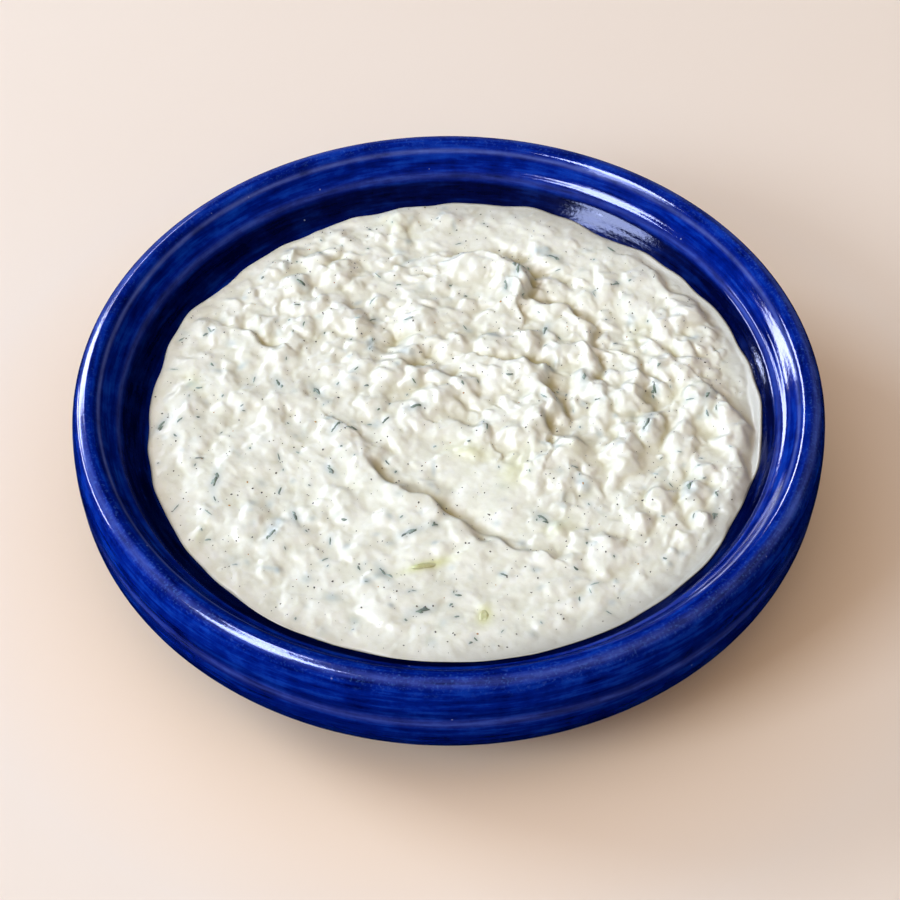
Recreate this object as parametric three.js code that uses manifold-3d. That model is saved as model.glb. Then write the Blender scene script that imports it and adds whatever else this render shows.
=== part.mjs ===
// A shallow thrown bowl with a rolled rim and two steps inside it, filled with a thick
// yogurt dip that was stirred and left in folds. Millimetres, +Z up, resting on z = 0.
import * as THREE from 'three';
import { mergeVertices } from 'three/addons/utils/BufferGeometryUtils.js';
import Module from 'manifold-3d';

const BOWL_RADIUS = 90;
const BOWL_HEIGHT = 42;
const CREST_RADIUS = 86.3;
const FOOT_RADIUS = 48.5;
const FLOOR_LEVEL = 5.8;
const TURNS = 64;
const RIM_STEPS = 2;

const DIP_RADIUS = 73.9;
const DIP_CENTRE_X = 0.7;
const WALL_GAP = 0.4;
const SHOULDER_DROP = 11.1;
const CROWN_DROP = 10.8;
const TOP_RINGS = 30;
const EDGE_START = 0.955;
const EDGE_SHARES = [0.985, 1];
const EDGE_SHARE = 0.1;
const EDGE_ROUND = 2.4;
const EDGE_FILM = 0.8;
// Waves of the dip's edge: count round the rim, phase, strength in millimetres.
const EDGE_WAVES = [
  [1, 2.27, 0.6],
  [5, 0.6, 0.33],
  [9, 2.1, 0.25],
  [17, 0, 0.2],
];
const SEED = 20417;
const LUMP_COUNT = 420;
const LUMP_REACH = 68;
const LUMP_WIDTH = [1.6, 4.2];
const LUMP_STRETCH = [1, 1.7];
const LUMP_RISE = [0.3, 0.65];
const LUMP_SOFTNESS = 0.35;
const LUMP_TURN = 40;
const CALM_SHARE = 0.35;
const FOLD_STEPS = 5;
const FOLD_SHARPNESS = 1.3;
const FOLD_END = 0.04;

// Outside of the bowl from the foot to the crest, as radius and height.
const OUTER_POINTS = [
  [FOOT_RADIUS, 0],
  [51.5, 1.9],
  [60, 5.4],
  [72, 9.6],
  [80.8, 12.9],
  [85.9, 16],
  [88.9, 20.6],
  [89.9, 27],
  [BOWL_RADIUS, 33.5],
  [89.5, 38.4],
  [88.3, 41],
  [CREST_RADIUS, BOWL_HEIGHT],
];

// Inside from the crest over the rolled lip and its two steps, then down the wall.
const LIP_POINTS = [
  [CREST_RADIUS, BOWL_HEIGHT],
  [84.6, 41.55],
  [83.4, 40.6],
  [82.1, 39.05],
  [80.8, 37.5],
  [79.5, 36.6],
  [78.95, 35.7],
  [78.3, 34.6],
  [76.9, 33.3],
  [75.4, 31.95],
  [74, 30.65],
  [73, 29.7],
];
const WALL_POINTS = [
  [73, 29.7],
  [71, 27],
  [68.6, 22.4],
  [65, 17.4],
  [59, 12.6],
  [48, 8.4],
  [30, 6.4],
  [0, FLOOR_LEVEL],
];

// Rings under the dip: share of its radius, number of points.
const FLOOR_RINGS = [
  [0.985, 124],
  [0.965, 96],
  [0.945, 84],
  [0.91, 72],
  [0.8, 60],
  [0.6, 48],
  [0.34, 24],
];

// Folds left by the spoon: path, rise on its right side, reach of the rise,
// fall on its left side, reach of the fall.
const FOLDS = [
  { path: [[-25, -4], [-17, -13], [-11, -23], [-3, -28], [4, -34], [11, -40], [19, -43]],
    sizes: [2.2, 9, 2, 6] },
  { path: [[6, 53.5], [13, 53.5], [18, 50], [20, 44], [19, 38]], sizes: [4.1, 8, 2.6, 5] },
  { path: [[-3, 48], [5, 53], [14, 53.5]], sizes: [1.4, 6, 0.5, 4] },
  { path: [[20, 40], [28, 36], [34, 30], [36, 23]], sizes: [2.4, 5, 2.2, 5] },
  { path: [[13, 18], [21, 16], [25, 8], [25, 0], [23.5, -9]], sizes: [3.2, 7, 2.2, 4.5] },
  { path: [[-1, -2], [4, -2.5], [8, -5], [9.5, -10]], sizes: [1.5, 4.5, 0.9, 3] },
  { path: [[31, 23], [35, 21], [36, 15], [35, 10]], sizes: [2.4, 3.5, 1.4, 3] },
  { path: [[42, 22], [45, 19], [46, 13], [45, 8]], sizes: [1.4, 3, 0.8, 3] },
  { path: [[51, 22], [54, 18], [55, 12], [54, 7]], sizes: [1.3, 3, 0.8, 3] },
  { path: [[-54, 29.5], [-50, 28], [-47, 24], [-43, 22]], sizes: [2, 4, 1.4, 3] },
  { path: [[62, 8], [68, 1], [70, -7], [70, -20], [66.5, -32]], sizes: [3.2, 5, 0.3, 3] },
  { path: [[47, 53], [57, 42], [63, 32], [66, 21]], sizes: [2, 5, 0.3, 3] },
  { path: [[-18, 17], [-6, 15], [3, 10.5], [10, 4]], sizes: [1.2, 6, 1, 5] },
];

// Mounds and hollows: x, y, long radius, short radius, turn in degrees, height.
const MOUNDS = [
  [10, 47, 10, 5, 12, 1.1],
  [-13.5, 25, 4.5, 3, 60, -2],
  [1, -17, 11, 7, -50, -0.9],
  [18, -6, 5, 4, 0, 1.4],
  [31, -12, 4, 3.5, 0, 1.3],
  [43, -12, 4, 4, 0, 1.2],
  [25, -15, 3, 2.5, 0, 1],
  [22.5, -45, 3, 2.5, -30, 1.5],
  [28.5, -46, 2.4, 2.2, 0, 1.4],
  [37, -40.5, 2.4, 2.2, 0, 1.2],
  [-13, 69, 5, 3.5, 0, 1.7],
  [-33, 50, 4, 3, -40, 1.6],
  [-26, 59, 4.5, 3, -40, 1.5],
  [-45, 4, 5, 3, -50, 0.8],
  [-16, -34, 14, 9, -45, 0.8],
  [-36, -28, 12, 8, -45, -0.6],
  [30, 46, 8, 3, -40, -0.9],
  [44, 30, 8, 3, -55, -0.9],
  [-9, -58, 6, 4, -20, 0.8],
  [-52, -16, 6, 4, -50, 0.6],
];

// Pieces that show on the surface: x, y, turn in degrees, length, width.
const CUCUMBER = [
  [5, -12, -15, 6, 2.6],
  [15.5, -18, 70, 5.4, 3],
  [-5, -47, 20, 6, 1.9],
  [8, -61, 80, 3.2, 2.2],
  [26, -35, 25, 4.6, 2.3],
  [-62, 10.5, -60, 3.6, 2],
  [-58, -37, 70, 4.2, 2.4],
  [-13, 64, -50, 4.4, 2.2],
  [46, 26, 60, 4.4, 2.2],
  [31, -12, 35, 4, 2.2],
];
const HERBS = [
  [-69, -3, 60, 4, 0.9],
  [-41.5, 10, -70, 3.2, 0.8],
  [-32, 8, -60, 3.6, 0.9],
  [-37, 43, -40, 3.6, 0.8],
  [-41, -37.5, 60, 3.4, 0.9],
  [-55, -21, 80, 4.6, 0.9],
  [-28, -18, -50, 2.8, 0.8],
  [-27, -5, 60, 3.2, 0.7],
  [-36, -32, -70, 3.6, 0.8],
  [-8, 1.5, 20, 3.2, 1],
  [17.5, 46, 85, 4.2, 0.9],
  [14.5, 41.5, 85, 3.2, 0.8],
  [24, 28, 70, 3.2, 0.8],
  [33, 10.5, 85, 3.2, 0.8],
  [50, 8, 80, 3.6, 0.9],
  [62.5, 4, 60, 3.2, 0.8],
  [47.5, -5, 70, 4, 0.9],
  [56.5, -24.5, 85, 4.2, 1],
  [62, -32, 80, 3.2, 0.8],
  [22, -32.5, -40, 3.2, 0.8],
  [-9, -38, 20, 4, 0.9],
  [-6, -60, 15, 4.2, 0.9],
  [26, 54, -35, 4.2, 0.9],
  [-15, -49, -60, 4, 0.8],
];
const PIECE_RAISE = 0.2;
const PIECE_FLATNESS = 0.5;
const MERGE_DISTANCE = 1e-4;

const wasm = await Module();
wasm.setup();

let randomState = SEED;

function nextRandom() {
  randomState = (randomState * 1664525 + 1013904223) % 4294967296;
  return randomState / 4294967296;
}

function between(low, high) {
  return low + (high - low) * nextRandom();
}

function smoothCurve(points, stepsEach) {
  const knots = points.map(([x, y]) => new THREE.Vector3(x, y, 0));
  const curve = new THREE.CatmullRomCurve3(knots, false, 'centripetal');
  return curve.getPoints(stepsEach * (points.length - 1));
}

function bowlProfile() {
  const outer = smoothCurve(OUTER_POINTS, 1);
  const lip = smoothCurve(LIP_POINTS, RIM_STEPS).slice(1);
  const wall = smoothCurve(WALL_POINTS, 1).slice(1);
  const all = [new THREE.Vector3(0, 0, 0), ...outer, ...lip, ...wall];
  return all.map((point) => new THREE.Vector2(Math.max(point.x, 0), point.y));
}

const PROFILE = bowlProfile();
const CREST_INDEX = PROFILE.findIndex((point) => point.y === BOWL_HEIGHT);
const INSIDE = PROFILE.slice(CREST_INDEX).reverse();

// Height of the inside of the bowl at a radius, for the side below the dip.
function insideHeight(radius) {
  for (let i = 1; i < INSIDE.length; i += 1) {
    const a = INSIDE[i - 1];
    const b = INSIDE[i];
    if (radius <= b.x) {
      const share = (radius - a.x) / (b.x - a.x);
      return a.y + (b.y - a.y) * share;
    }
  }
  return BOWL_HEIGHT;
}

function logistic(value) {
  return 1 / (1 + Math.exp(-value));
}

// Distance to a fold path, positive on its right side, with the place along it.
function nearestOnPath(path, x, y) {
  let best = { distance: Infinity, side: 1, along: 0 };
  for (let i = 1; i < path.length; i += 1) {
    const a = path[i - 1];
    const dx = path[i].x - a.x;
    const dy = path[i].y - a.y;
    const share = ((x - a.x) * dx + (y - a.y) * dy) / (dx * dx + dy * dy);
    const held = Math.min(Math.max(share, 0), 1);
    const px = x - a.x - dx * held;
    const py = y - a.y - dy * held;
    const distance = Math.hypot(px, py);
    if (distance < best.distance) {
      const side = dx * py - dy * px < 0 ? 1 : -1;
      best = { distance, side, along: (i - 1 + held) / (path.length - 1) };
    }
  }
  return best;
}

function foldHeight(fold, x, y) {
  const [rise, riseReach, fall, fallReach] = fold.sizes;
  const { distance, side, along } = nearestOnPath(fold.curve, x, y);
  const signed = distance * side;
  const taper = Math.sqrt(Math.sin(Math.PI * (FOLD_END + (1 - 2 * FOLD_END) * along)));
  const up = rise * Math.exp(-((distance / riseReach) ** 2)) * logistic(signed * FOLD_SHARPNESS);
  const down = fall * Math.exp(-((distance / fallReach) ** 2)) * logistic(-signed * FOLD_SHARPNESS);
  return taper * (up - down);
}

// Height of a mound and the squared share of the way from its middle to its outline.
function moundShape(mound, x, y) {
  const [cx, cy, long, short, turn, height] = mound;
  const angle = THREE.MathUtils.degToRad(turn);
  const u = (x - cx) * Math.cos(angle) + (y - cy) * Math.sin(angle);
  const v = (y - cy) * Math.cos(angle) - (x - cx) * Math.sin(angle);
  return { height, outward: (u / long) ** 2 + (v / short) ** 2 };
}

function moundHeight(mound, x, y) {
  const { height, outward } = moundShape(mound, x, y);
  return height * Math.exp(-outward);
}

// How lumpy the dip is: calm at the front left, busy at the back right.
function busyness(x, y) {
  return CALM_SHARE + (1 - CALM_SHARE) * logistic((x + 1.4 * y + 18) / 16);
}

// Lumps of grated cucumber under the surface, most of them small, longer along the stirring.
function scatterLumps() {
  const lumps = [];
  for (let i = 0; i < LUMP_COUNT; i += 1) {
    const angle = between(0, 2 * Math.PI);
    const radius = LUMP_REACH * Math.sqrt(nextRandom());
    const x = radius * Math.cos(angle);
    const y = radius * Math.sin(angle);
    const short = LUMP_WIDTH[0] + (LUMP_WIDTH[1] - LUMP_WIDTH[0]) * nextRandom() ** 2;
    const long = short * between(...LUMP_STRETCH);
    const turn = THREE.MathUtils.radToDeg(angle) + 90 + between(-LUMP_TURN, LUMP_TURN);
    lumps.push([x, y, long, short, turn, short * between(...LUMP_RISE) * busyness(x, y)]);
  }
  return lumps;
}

const FOLD_CURVES = FOLDS.map(({ path, sizes }) => ({ curve: smoothCurve(path, FOLD_STEPS), sizes }));
const LUMPS = scatterLumps();

function edgeRadius(angle) {
  let radius = DIP_RADIUS;
  for (const [count, phase, strength] of EDGE_WAVES) {
    radius += strength * Math.sin(count * angle + phase);
  }
  return radius;
}

// Domed lumps that run softly together where they meet.
function crowdHeight(x, y) {
  let crowd = 1;
  for (const lump of LUMPS) {
    const { height, outward } = moundShape(lump, x, y);
    crowd += Math.exp((height * (1 - outward)) / LUMP_SOFTNESS);
  }
  return LUMP_SOFTNESS * Math.log(crowd);
}

function reliefHeight(x, y) {
  let sum = crowdHeight(x, y);
  for (const fold of FOLD_CURVES) {
    sum += foldHeight(fold, x, y);
  }
  for (const mound of MOUNDS) {
    sum += moundHeight(mound, x, y);
  }
  return sum;
}

function dipPlace(share, angle) {
  const radius = edgeRadius(angle) * share;
  return [DIP_CENTRE_X + radius * Math.cos(angle), radius * Math.sin(angle)];
}

function floorHeight(share, angle) {
  return insideHeight(Math.hypot(...dipPlace(share, angle))) + WALL_GAP;
}

// Top of the dip at a share of the way from the middle to the edge, never below a film on the wall.
function topHeight(share, angle) {
  const [x, y] = dipPlace(share, angle);
  const contact = floorHeight(1, angle);
  const crown = BOWL_HEIGHT - CROWN_DROP - (SHOULDER_DROP - CROWN_DROP) * share * share;
  const inward = Math.min((1 - share) / EDGE_SHARE, 1);
  const rounding = (1 - (1 - inward) ** EDGE_ROUND) ** (1 / EDGE_ROUND);
  const stirred = contact + (crown + reliefHeight(x, y) - contact) * rounding;
  return Math.max(stirred, floorHeight(share, angle) + EDGE_FILM * rounding);
}

// Rings of points from the middle of the top, over the edge, to the middle below.
function dipRings() {
  const rings = [];
  for (let k = 1; k <= TOP_RINGS; k += 1) {
    rings.push({ share: (EDGE_START * k) / TOP_RINGS, count: 6 * k, height: topHeight });
  }
  for (const share of EDGE_SHARES) {
    rings.push({ share, count: 6 * TOP_RINGS, height: topHeight });
  }
  for (const [share, count] of FLOOR_RINGS) {
    rings.push({ share, count, height: floorHeight });
  }
  return rings;
}

// Triangles between two rings that may hold different numbers of points.
function stitch(index, inner, outer) {
  let i = 0;
  let o = 0;
  while (i < inner.count || o < outer.count) {
    const a = inner.start + (i % inner.count);
    const b = outer.start + (o % outer.count);
    const stepOuter = (o + 1) / outer.count <= (i + 1) / inner.count;
    if (stepOuter) {
      o += 1;
      index.push(a, b, outer.start + (o % outer.count));
    } else {
      i += 1;
      index.push(a, b, inner.start + (i % inner.count));
    }
  }
}

function dipGeometry() {
  const rings = dipRings();
  const positions = [DIP_CENTRE_X, 0, topHeight(0, 0)];
  const index = [];
  for (const ring of rings) {
    ring.start = positions.length / 3;
    for (let s = 0; s < ring.count; s += 1) {
      const angle = (2 * Math.PI * s) / ring.count;
      positions.push(...dipPlace(ring.share, angle), ring.height(ring.share, angle));
    }
  }
  const below = positions.length / 3;
  positions.push(DIP_CENTRE_X, 0, FLOOR_LEVEL + WALL_GAP);
  const first = rings[0];
  const last = rings[rings.length - 1];
  for (let s = 0; s < first.count; s += 1) {
    index.push(0, first.start + s, first.start + ((s + 1) % first.count));
  }
  for (let k = 1; k < rings.length; k += 1) {
    stitch(index, rings[k - 1], rings[k]);
  }
  for (let s = 0; s < last.count; s += 1) {
    index.push(last.start + ((s + 1) % last.count), last.start + s, below);
  }
  const geometry = new THREE.BufferGeometry();
  geometry.setAttribute('position', new THREE.Float32BufferAttribute(positions, 3));
  geometry.setIndex(index);
  return geometry;
}

function toManifold(source) {
  const bare = source.clone();
  bare.deleteAttribute('normal');
  bare.deleteAttribute('uv');
  const merged = mergeVertices(bare, MERGE_DISTANCE);
  const vertProperties = new Float32Array(merged.attributes.position.array);
  const triVerts = new Uint32Array(merged.index.array);
  return new wasm.Manifold(new wasm.Mesh({ numProp: 3, vertProperties, triVerts }));
}

function fromManifold(solid) {
  const mesh = solid.getMesh();
  const geometry = new THREE.BufferGeometry();
  geometry.setAttribute('position', new THREE.Float32BufferAttribute(mesh.vertProperties, 3));
  geometry.setIndex(new THREE.Uint32BufferAttribute(mesh.triVerts, 1));
  return geometry;
}

// One piece lying half sunk in the dip, level with the face below it.
function pieceGeometry(base, surface, [x, y, turn, length, width]) {
  const thick = width * PIECE_FLATNESS;
  const above = new THREE.Vector3(x, y, BOWL_HEIGHT * 2);
  const hit = new THREE.Raycaster(above, new THREE.Vector3(0, 0, -1)).intersectObject(surface)[0];
  const upright = new THREE.Vector3(0, 0, 1);
  const tilt = new THREE.Quaternion().setFromUnitVectors(upright, hit.face.normal);
  const spin = new THREE.Quaternion().setFromAxisAngle(upright, THREE.MathUtils.degToRad(turn));
  const scale = new THREE.Vector3(length / 2, width / 2, thick / 2);
  const place = hit.point.clone().addScaledVector(hit.face.normal, thick * PIECE_RAISE);
  return base.clone().applyMatrix4(new THREE.Matrix4().compose(place, tilt.multiply(spin), scale));
}

function dipWithPieces() {
  const flesh = new THREE.IcosahedronGeometry(1, 0);
  const sprig = new THREE.OctahedronGeometry(1, 0);
  const plain = dipGeometry();
  const surface = new THREE.Mesh(plain, new THREE.MeshBasicMaterial());
  let solid = toManifold(plain);
  for (const row of CUCUMBER) {
    solid = solid.add(toManifold(pieceGeometry(flesh, surface, row)));
  }
  for (const row of HERBS) {
    solid = solid.add(toManifold(pieceGeometry(sprig, surface, row)));
  }
  return fromManifold(solid);
}

function bowlGeometry() {
  const lathe = new THREE.LatheGeometry(PROFILE, TURNS);
  lathe.rotateX(Math.PI / 2);
  return fromManifold(toManifold(lathe));
}

function part(name, geometry, color, roughness) {
  const material = new THREE.MeshStandardMaterial({ color, roughness, metalness: 0 });
  material.name = name;
  geometry.computeVertexNormals();
  const mesh = new THREE.Mesh(geometry, material);
  mesh.name = name;
  return mesh;
}

const group = new THREE.Group();
group.name = 'cucumber_yogurt_dip_bowl';
group.add(part('bowl', bowlGeometry(), '#0b2a8c', 0.18));
group.add(part('dip', dipWithPieces(), '#f3f1e8', 0.5));

export default group;
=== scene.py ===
"""A blue glazed bowl of cucumber yogurt dip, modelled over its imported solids."""

import math
from functools import partial

import bpy
import numpy as np
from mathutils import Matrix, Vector, noise


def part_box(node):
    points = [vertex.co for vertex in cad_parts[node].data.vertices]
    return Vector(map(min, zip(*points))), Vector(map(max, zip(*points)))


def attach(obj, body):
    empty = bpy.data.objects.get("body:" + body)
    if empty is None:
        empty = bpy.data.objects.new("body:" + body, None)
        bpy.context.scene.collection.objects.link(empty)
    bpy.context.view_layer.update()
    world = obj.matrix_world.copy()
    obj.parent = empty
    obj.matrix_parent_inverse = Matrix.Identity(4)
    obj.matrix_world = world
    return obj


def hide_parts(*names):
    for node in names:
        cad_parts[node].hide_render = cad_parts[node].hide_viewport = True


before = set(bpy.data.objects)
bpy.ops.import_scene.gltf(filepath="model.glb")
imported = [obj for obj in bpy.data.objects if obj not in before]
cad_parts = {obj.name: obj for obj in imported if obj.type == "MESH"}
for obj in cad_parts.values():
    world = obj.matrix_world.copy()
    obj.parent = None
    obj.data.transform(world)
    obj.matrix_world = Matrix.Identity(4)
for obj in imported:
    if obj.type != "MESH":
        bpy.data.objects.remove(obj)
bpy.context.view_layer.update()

bl_info = {
    "name": "Bowl of cucumber yogurt dip",
    "version": (1, 0, 0),
    "blender": (4, 5, 0),
    "location": "View3D > Sidebar > Dip bowl",
    "description": "Models a blue glazed bowl of cucumber yogurt dip over its packed solids",
    "category": "Object",
}

# Sizes are in millimetres, and angles in degrees, unless a comment says otherwise.
MM = 0.001
FULL_TURN = 2 * math.pi
SIXTH_TURN = math.pi / 3
# Guards against division by nothing, and against rounding at the corners of the disc.
TINY = 1e-9
CORNER_SLACK = 1e-6
BOWL_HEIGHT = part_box("bowl")[1].z / MM
BLACK = (0, 0, 0, 1)

# Section of the bowl as radius and height: outside from the foot to the crest, then over the
# rolled lip and the seat, then down the inner wall.
OUTER_POINTS = (
    (48.5, 0), (51.5, 1.9), (60, 5.4), (72, 9.6), (80.8, 12.9), (85.9, 16),
    (88.9, 20.6), (89.9, 27), (90, 33.5), (89.5, 38.4), (88.3, 41), (86.3, 42),
)
LIP_POINTS = (
    (86.3, 42), (84.6, 41.55), (83.4, 40.6), (82.1, 39.05), (80.8, 37.5), (79.5, 36.6),
    (78.95, 35.7), (78.3, 34.6), (76.9, 33.3), (75.4, 31.95), (74, 30.58), (73, 29.55),
)
WALL_POINTS = (
    (73, 29.55), (71, 27), (68.6, 22.4), (65, 17.4), (59, 12.6), (48, 8.4), (30, 6.4), (0, 5.8),
)
FOOT_RADII = (0, 24, 40, 46)
OUTER_STEPS = 8
LIP_STEPS = 8
WALL_STEPS = 5
MERGE_GAP = 0.01
# Throwing rings: spacing, share of the depth and two places in the noise. They fade in over
# these heights and radii.
RINGS = ((2.6, 1, 3.1, 0.4), (1.1, 0.5, 8.2, 2))
RING_HEIGHTS = (4, 10)
RING_RADII = (60, 68)
# Where the glaze changes: radius, height, reach and strength. It runs thin over ridges and is
# speckled along the crest. The dark zone is thick pooled glaze, darkened further as painted
# shade on the seat inside the rim; it also darkens the outer wall low down and under the crest.
GLAZE_ZONES = {
    "thin_glaze": (
        (87.6, 41.6, 1, 0.35), (83.3, 40.5, 0.5, 0.6), (79, 35.8, 0.8, 0.25), (90, 29.7, 1.2, 0.25),
    ),
    "speckled_glaze": ((87.3, 41.4, 2.6, 0.9),),
    "pooled_glaze_and_shade": (
        (77.6, 34, 1.2, 1), (76.2, 32.7, 1.5, 1), (74.2, 30.8, 2.4, 0.85), (90, 32.5, 1.4, 0.35),
        (88, 20, 7, 0.6),
    ),
}
# Sizes in the pattern of the glaze, whose streaks run along the rim at this radius.
STREAK_WIDTH = 1.3
STREAK_RUN = 14
STREAK_RADIUS = 86
GLAZE_CLOUD = 8
GLAZE_SPECK = 0.7
CLAY_GRIT = 0.8
PINHOLE_SPACING = 7
GLAZE_BUMP = 0.12
# Height and radius over which the bare clay under the foot gives way to glaze.
BARE_HEIGHT = (0.25, 0.6)
BARE_RADIUS = (48.2, 49.2)

# The dip.
DIP_RADIUS = 73.9
DIP_CENTRE_X = 0.7
WALL_GAP = 0.4
SHOULDER_DROP = 11.1
CROWN_DROP = 10.8
EDGE_SHARE = 0.1
EDGE_ROUND = 2.4
EDGE_FILM = 0.8
# Waves of the dip's edge: count round the bowl, phase in radians, depth.
EDGE_WAVES = (
    (1, 2.27, 0.6), (5, 0.6, 0.33), (9, 2.1, 0.25), (17, 0, 0.2), (13, 4, 0.14), (29, 1.2, 0.12),
    (41, 5.4, 0.08),
)
# Rings of the dip's underside, as shares of its radius, and the cuts that divide its top.
FLOOR_SHARES = (0.985, 0.965, 0.945, 0.91, 0.8, 0.6, 0.34)
FIRST_CUTS = 14
SECOND_CUTS = 10

# Folds left by the spoon: path, rise on its right side, reach of the rise, fall on its left
# side, reach of the fall.
FOLDS = (
    (((-22, -7), (-17, -13), (-11, -23), (-3, -28), (4, -34), (11, -40), (19, -43)), (2.2, 9, 2, 6)),
    (((6, 53.5), (13, 53.5), (18, 50), (20, 44), (19, 38)), (4.1, 8, 2.6, 5)),
    (((-3, 48), (5, 53), (14, 53.5)), (1.4, 6, 0.5, 4)),
    (((20, 40), (28, 36), (34, 30), (36, 23)), (2.4, 5, 2.2, 5)),
    (((13, 18), (21, 16), (25, 8), (25, 0), (23.5, -9)), (3.2, 7, 2.2, 4.5)),
    (((-1, -2), (4, -2.5), (8, -5), (9.5, -10)), (1.5, 4.5, 0.9, 3)),
    (((31, 23), (35, 21), (36, 15), (35, 10)), (2.4, 3.5, 1.4, 3)),
    (((42, 22), (45, 19), (46, 13), (45, 8)), (1.4, 3, 0.8, 3)),
    (((51, 22), (54, 18), (55, 12), (54, 7)), (1.3, 3, 0.8, 3)),
    (((-54, 29.5), (-50, 28), (-47, 24), (-43, 22)), (2, 4, 1.4, 3)),
    (((62, 8), (68, 1), (70, -7), (70, -20), (66.5, -32)), (3.2, 5, 0.3, 3)),
    (((47, 53), (57, 42), (63, 32), (66, 21)), (2, 5, 0.3, 3)),
    (((-18, 17), (-6, 15), (3, 10.5), (10, 4)), (1.2, 6, 1, 5)),
)
FOLD_STEPS = 5
FOLD_SHARPNESS = 1.3
FOLD_END = 0.04
# How far and over what length the folds wander off their paths.
FOLD_PULL = 3.4
FOLD_PULL_SIZE = 5.2

# Mounds and hollows: x, y, long radius, short radius, turn, height.
MOUNDS = (
    (10, 47, 10, 5, 12, 1.1), (-13.5, 25, 4.5, 3, 60, -2), (1, -17, 11, 7, -50, -0.9),
    (18, -6, 5, 4, 0, 1.4), (31, -12, 4, 3.5, 0, 1.3), (43, -12, 4, 4, 0, 1.2),
    (25, -15, 3, 2.5, 0, 1), (22.5, -45, 3, 2.5, -30, 1.5), (28.5, -46, 2.4, 2.2, 0, 1.4),
    (37, -40.5, 2.4, 2.2, 0, 1.2), (-13, 69, 5, 3.5, 0, 1.7), (-33, 50, 4, 3, -40, 1.6),
    (-26, 59, 4.5, 3, -40, 1.5), (-45, 4, 5, 3, -50, 0.8), (-16, -34, 14, 9, -45, 0.8),
    (-36, -28, 12, 8, -45, -0.6), (30, 46, 8, 3, -40, -0.9), (44, 30, 8, 3, -55, -0.9),
    (-9, -58, 6, 4, -20, 0.8), (-52, -16, 6, 4, -50, 0.6),
)
# How many long radii out a mound or a lump still counts.
MOUND_REACH = 3
DOME_REACH = 2.2

# Lumps of grated cucumber under the surface, and curds, along the stirring direction: seed,
# reach, width, then length and rise as shares of the width.
LUMPS = (20417, 68, (1.6, 4.2), (1, 1.7), (0.27, 0.6))
LUMP_COUNT = 420
LUMP_SOFTNESS = 0.3
LUMP_TURN = 40
CURDS = (7351, 72.5, (0.7, 1.7), (1, 2), (0.18, 0.48))
CURD_SOFTNESS = 0.12
# How far and over what length the lumps are pulled out of round.
PULL = 1.3
PULL_SIZE = 2.8
# Height of the lumps at the calm front left, and the line and fade from there to the busy side.
CALM_SHARE = 0.48
BUSY_TILT = 1.4
BUSY_SHIFT = 18
BUSY_FADE = 16
# Swells between the lumps, and the cosine and sine of the way that all swells lie.
SWELL_SIZE = 11
SWELL_HEIGHT = 1.1
SWELL_WAY = (0.8, 0.6)
# Places with lower or higher lumps, given as mounds are, with the change as a share.
POOLS = (
    (4, -18, 13, 8, -50, -0.85), (7, 46, 9, 5, 12, -0.6), (4, 60, 17, 5, 0, -0.6),
    (22, 58, 34, 11, -14, -0.3), (54, -4, 34, 16, 90, 0.5),
)
# The finest unevenness: size, share of its height and place in the noise.
FINE_GRAIN = ((1.6, 1, 0.7), (0.8, 0.6, 4.2))

# Painted shade on the thin edge on the right: share of the way to the edge where it starts, and its fade.
THIN_SHADE_FROM = 0.9
THIN_SHADE_FADE = 8
# Painted shade in the hollows between the lumps: rounds of smoothing and the depth that counts as full.
HOLLOW_SHADE_ROUNDS = 60
HOLLOW_SHADE_DEPTH = 1.2
# Sizes in the pattern of the yogurt.
CREAM_CLOUD = 5
CREAM_GRAIN = 0.9
CREAM_BUMP = 0.12
# How far light reaches into yogurt and into cucumber.
CREAM_GLOW = 0.5
FLESH_GLOW = 1.2

# Cucumber that shows: x, y, turn, length, width, film of yogurt over it. Under a full film it is
# only a bump and a tint of the dip.
CUCUMBER = (
    (5, -12, -15, 6, 2.6, 0.7), (15.5, -18, 70, 5.4, 3, 0.7), (-5, -47, 20, 6, 1.3, 0.1),
    (8, -61, 80, 2.8, 1.7, 0), (26, -35, 25, 4.6, 2.3, 0.8), (-62, 10.5, -60, 3.6, 2, 0.8),
    (-58, -37, 70, 4.2, 2.4, 0.9), (-13, 64, -50, 4.4, 2.2, 0.9), (46, 26, 60, 4.4, 2.2, 0.9),
    (31, -12, 35, 4, 2.2, 0.9),
)
FULL_FILM = 0.5
# A bump's length, width and rise as shares of the shred's length and width.
BUMP_LENGTH = 0.5
BUMP_WIDTH = 0.6
BUMP_RISE = 0.28
# A bare shred's thickness as a share of its width, and how deep it lies.
SHRED_SEEDS = (11, 17, 23, 31)
SHRED_THICK = 0.5
SHRED_LIFT = -0.2
FLESH_CELL = 1.8

# Dill that shows: x, y, turn, length, width.
DILL = (
    (-69, -3, 60, 4, 0.9), (-41.5, 10, -70, 3.2, 0.8), (-32, 8, -60, 3.6, 0.9), (-37, 43, -40, 3.6, 0.8),
    (-41, -37.5, 60, 3.4, 0.9), (-55, -21, 80, 4.6, 0.9), (-28, -18, -50, 2.8, 0.8), (-27, -5, 60, 3.2, 0.7),
    (-36, -32, -70, 3.6, 0.8), (-8, 1.5, 20, 3.2, 1), (17.5, 46, 85, 4.2, 0.9), (14.5, 41.5, 85, 3.2, 0.8),
    (24, 28, 70, 3.2, 0.8), (33, 10.5, 85, 3.2, 0.8), (50, 8, 80, 3.6, 0.9), (62.5, 4, 60, 3.2, 0.8),
    (47.5, -5, 70, 4, 0.9), (56.5, -24.5, 85, 4.2, 1), (62, -32, 80, 3.2, 0.8), (22, -32.5, -40, 3.2, 0.8),
    (-9, -38, 20, 4, 0.9), (-6, -60, 15, 4.2, 0.9), (26, 54, -35, 4.2, 0.9), (-15, -49, -60, 4, 0.8),
)
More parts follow.
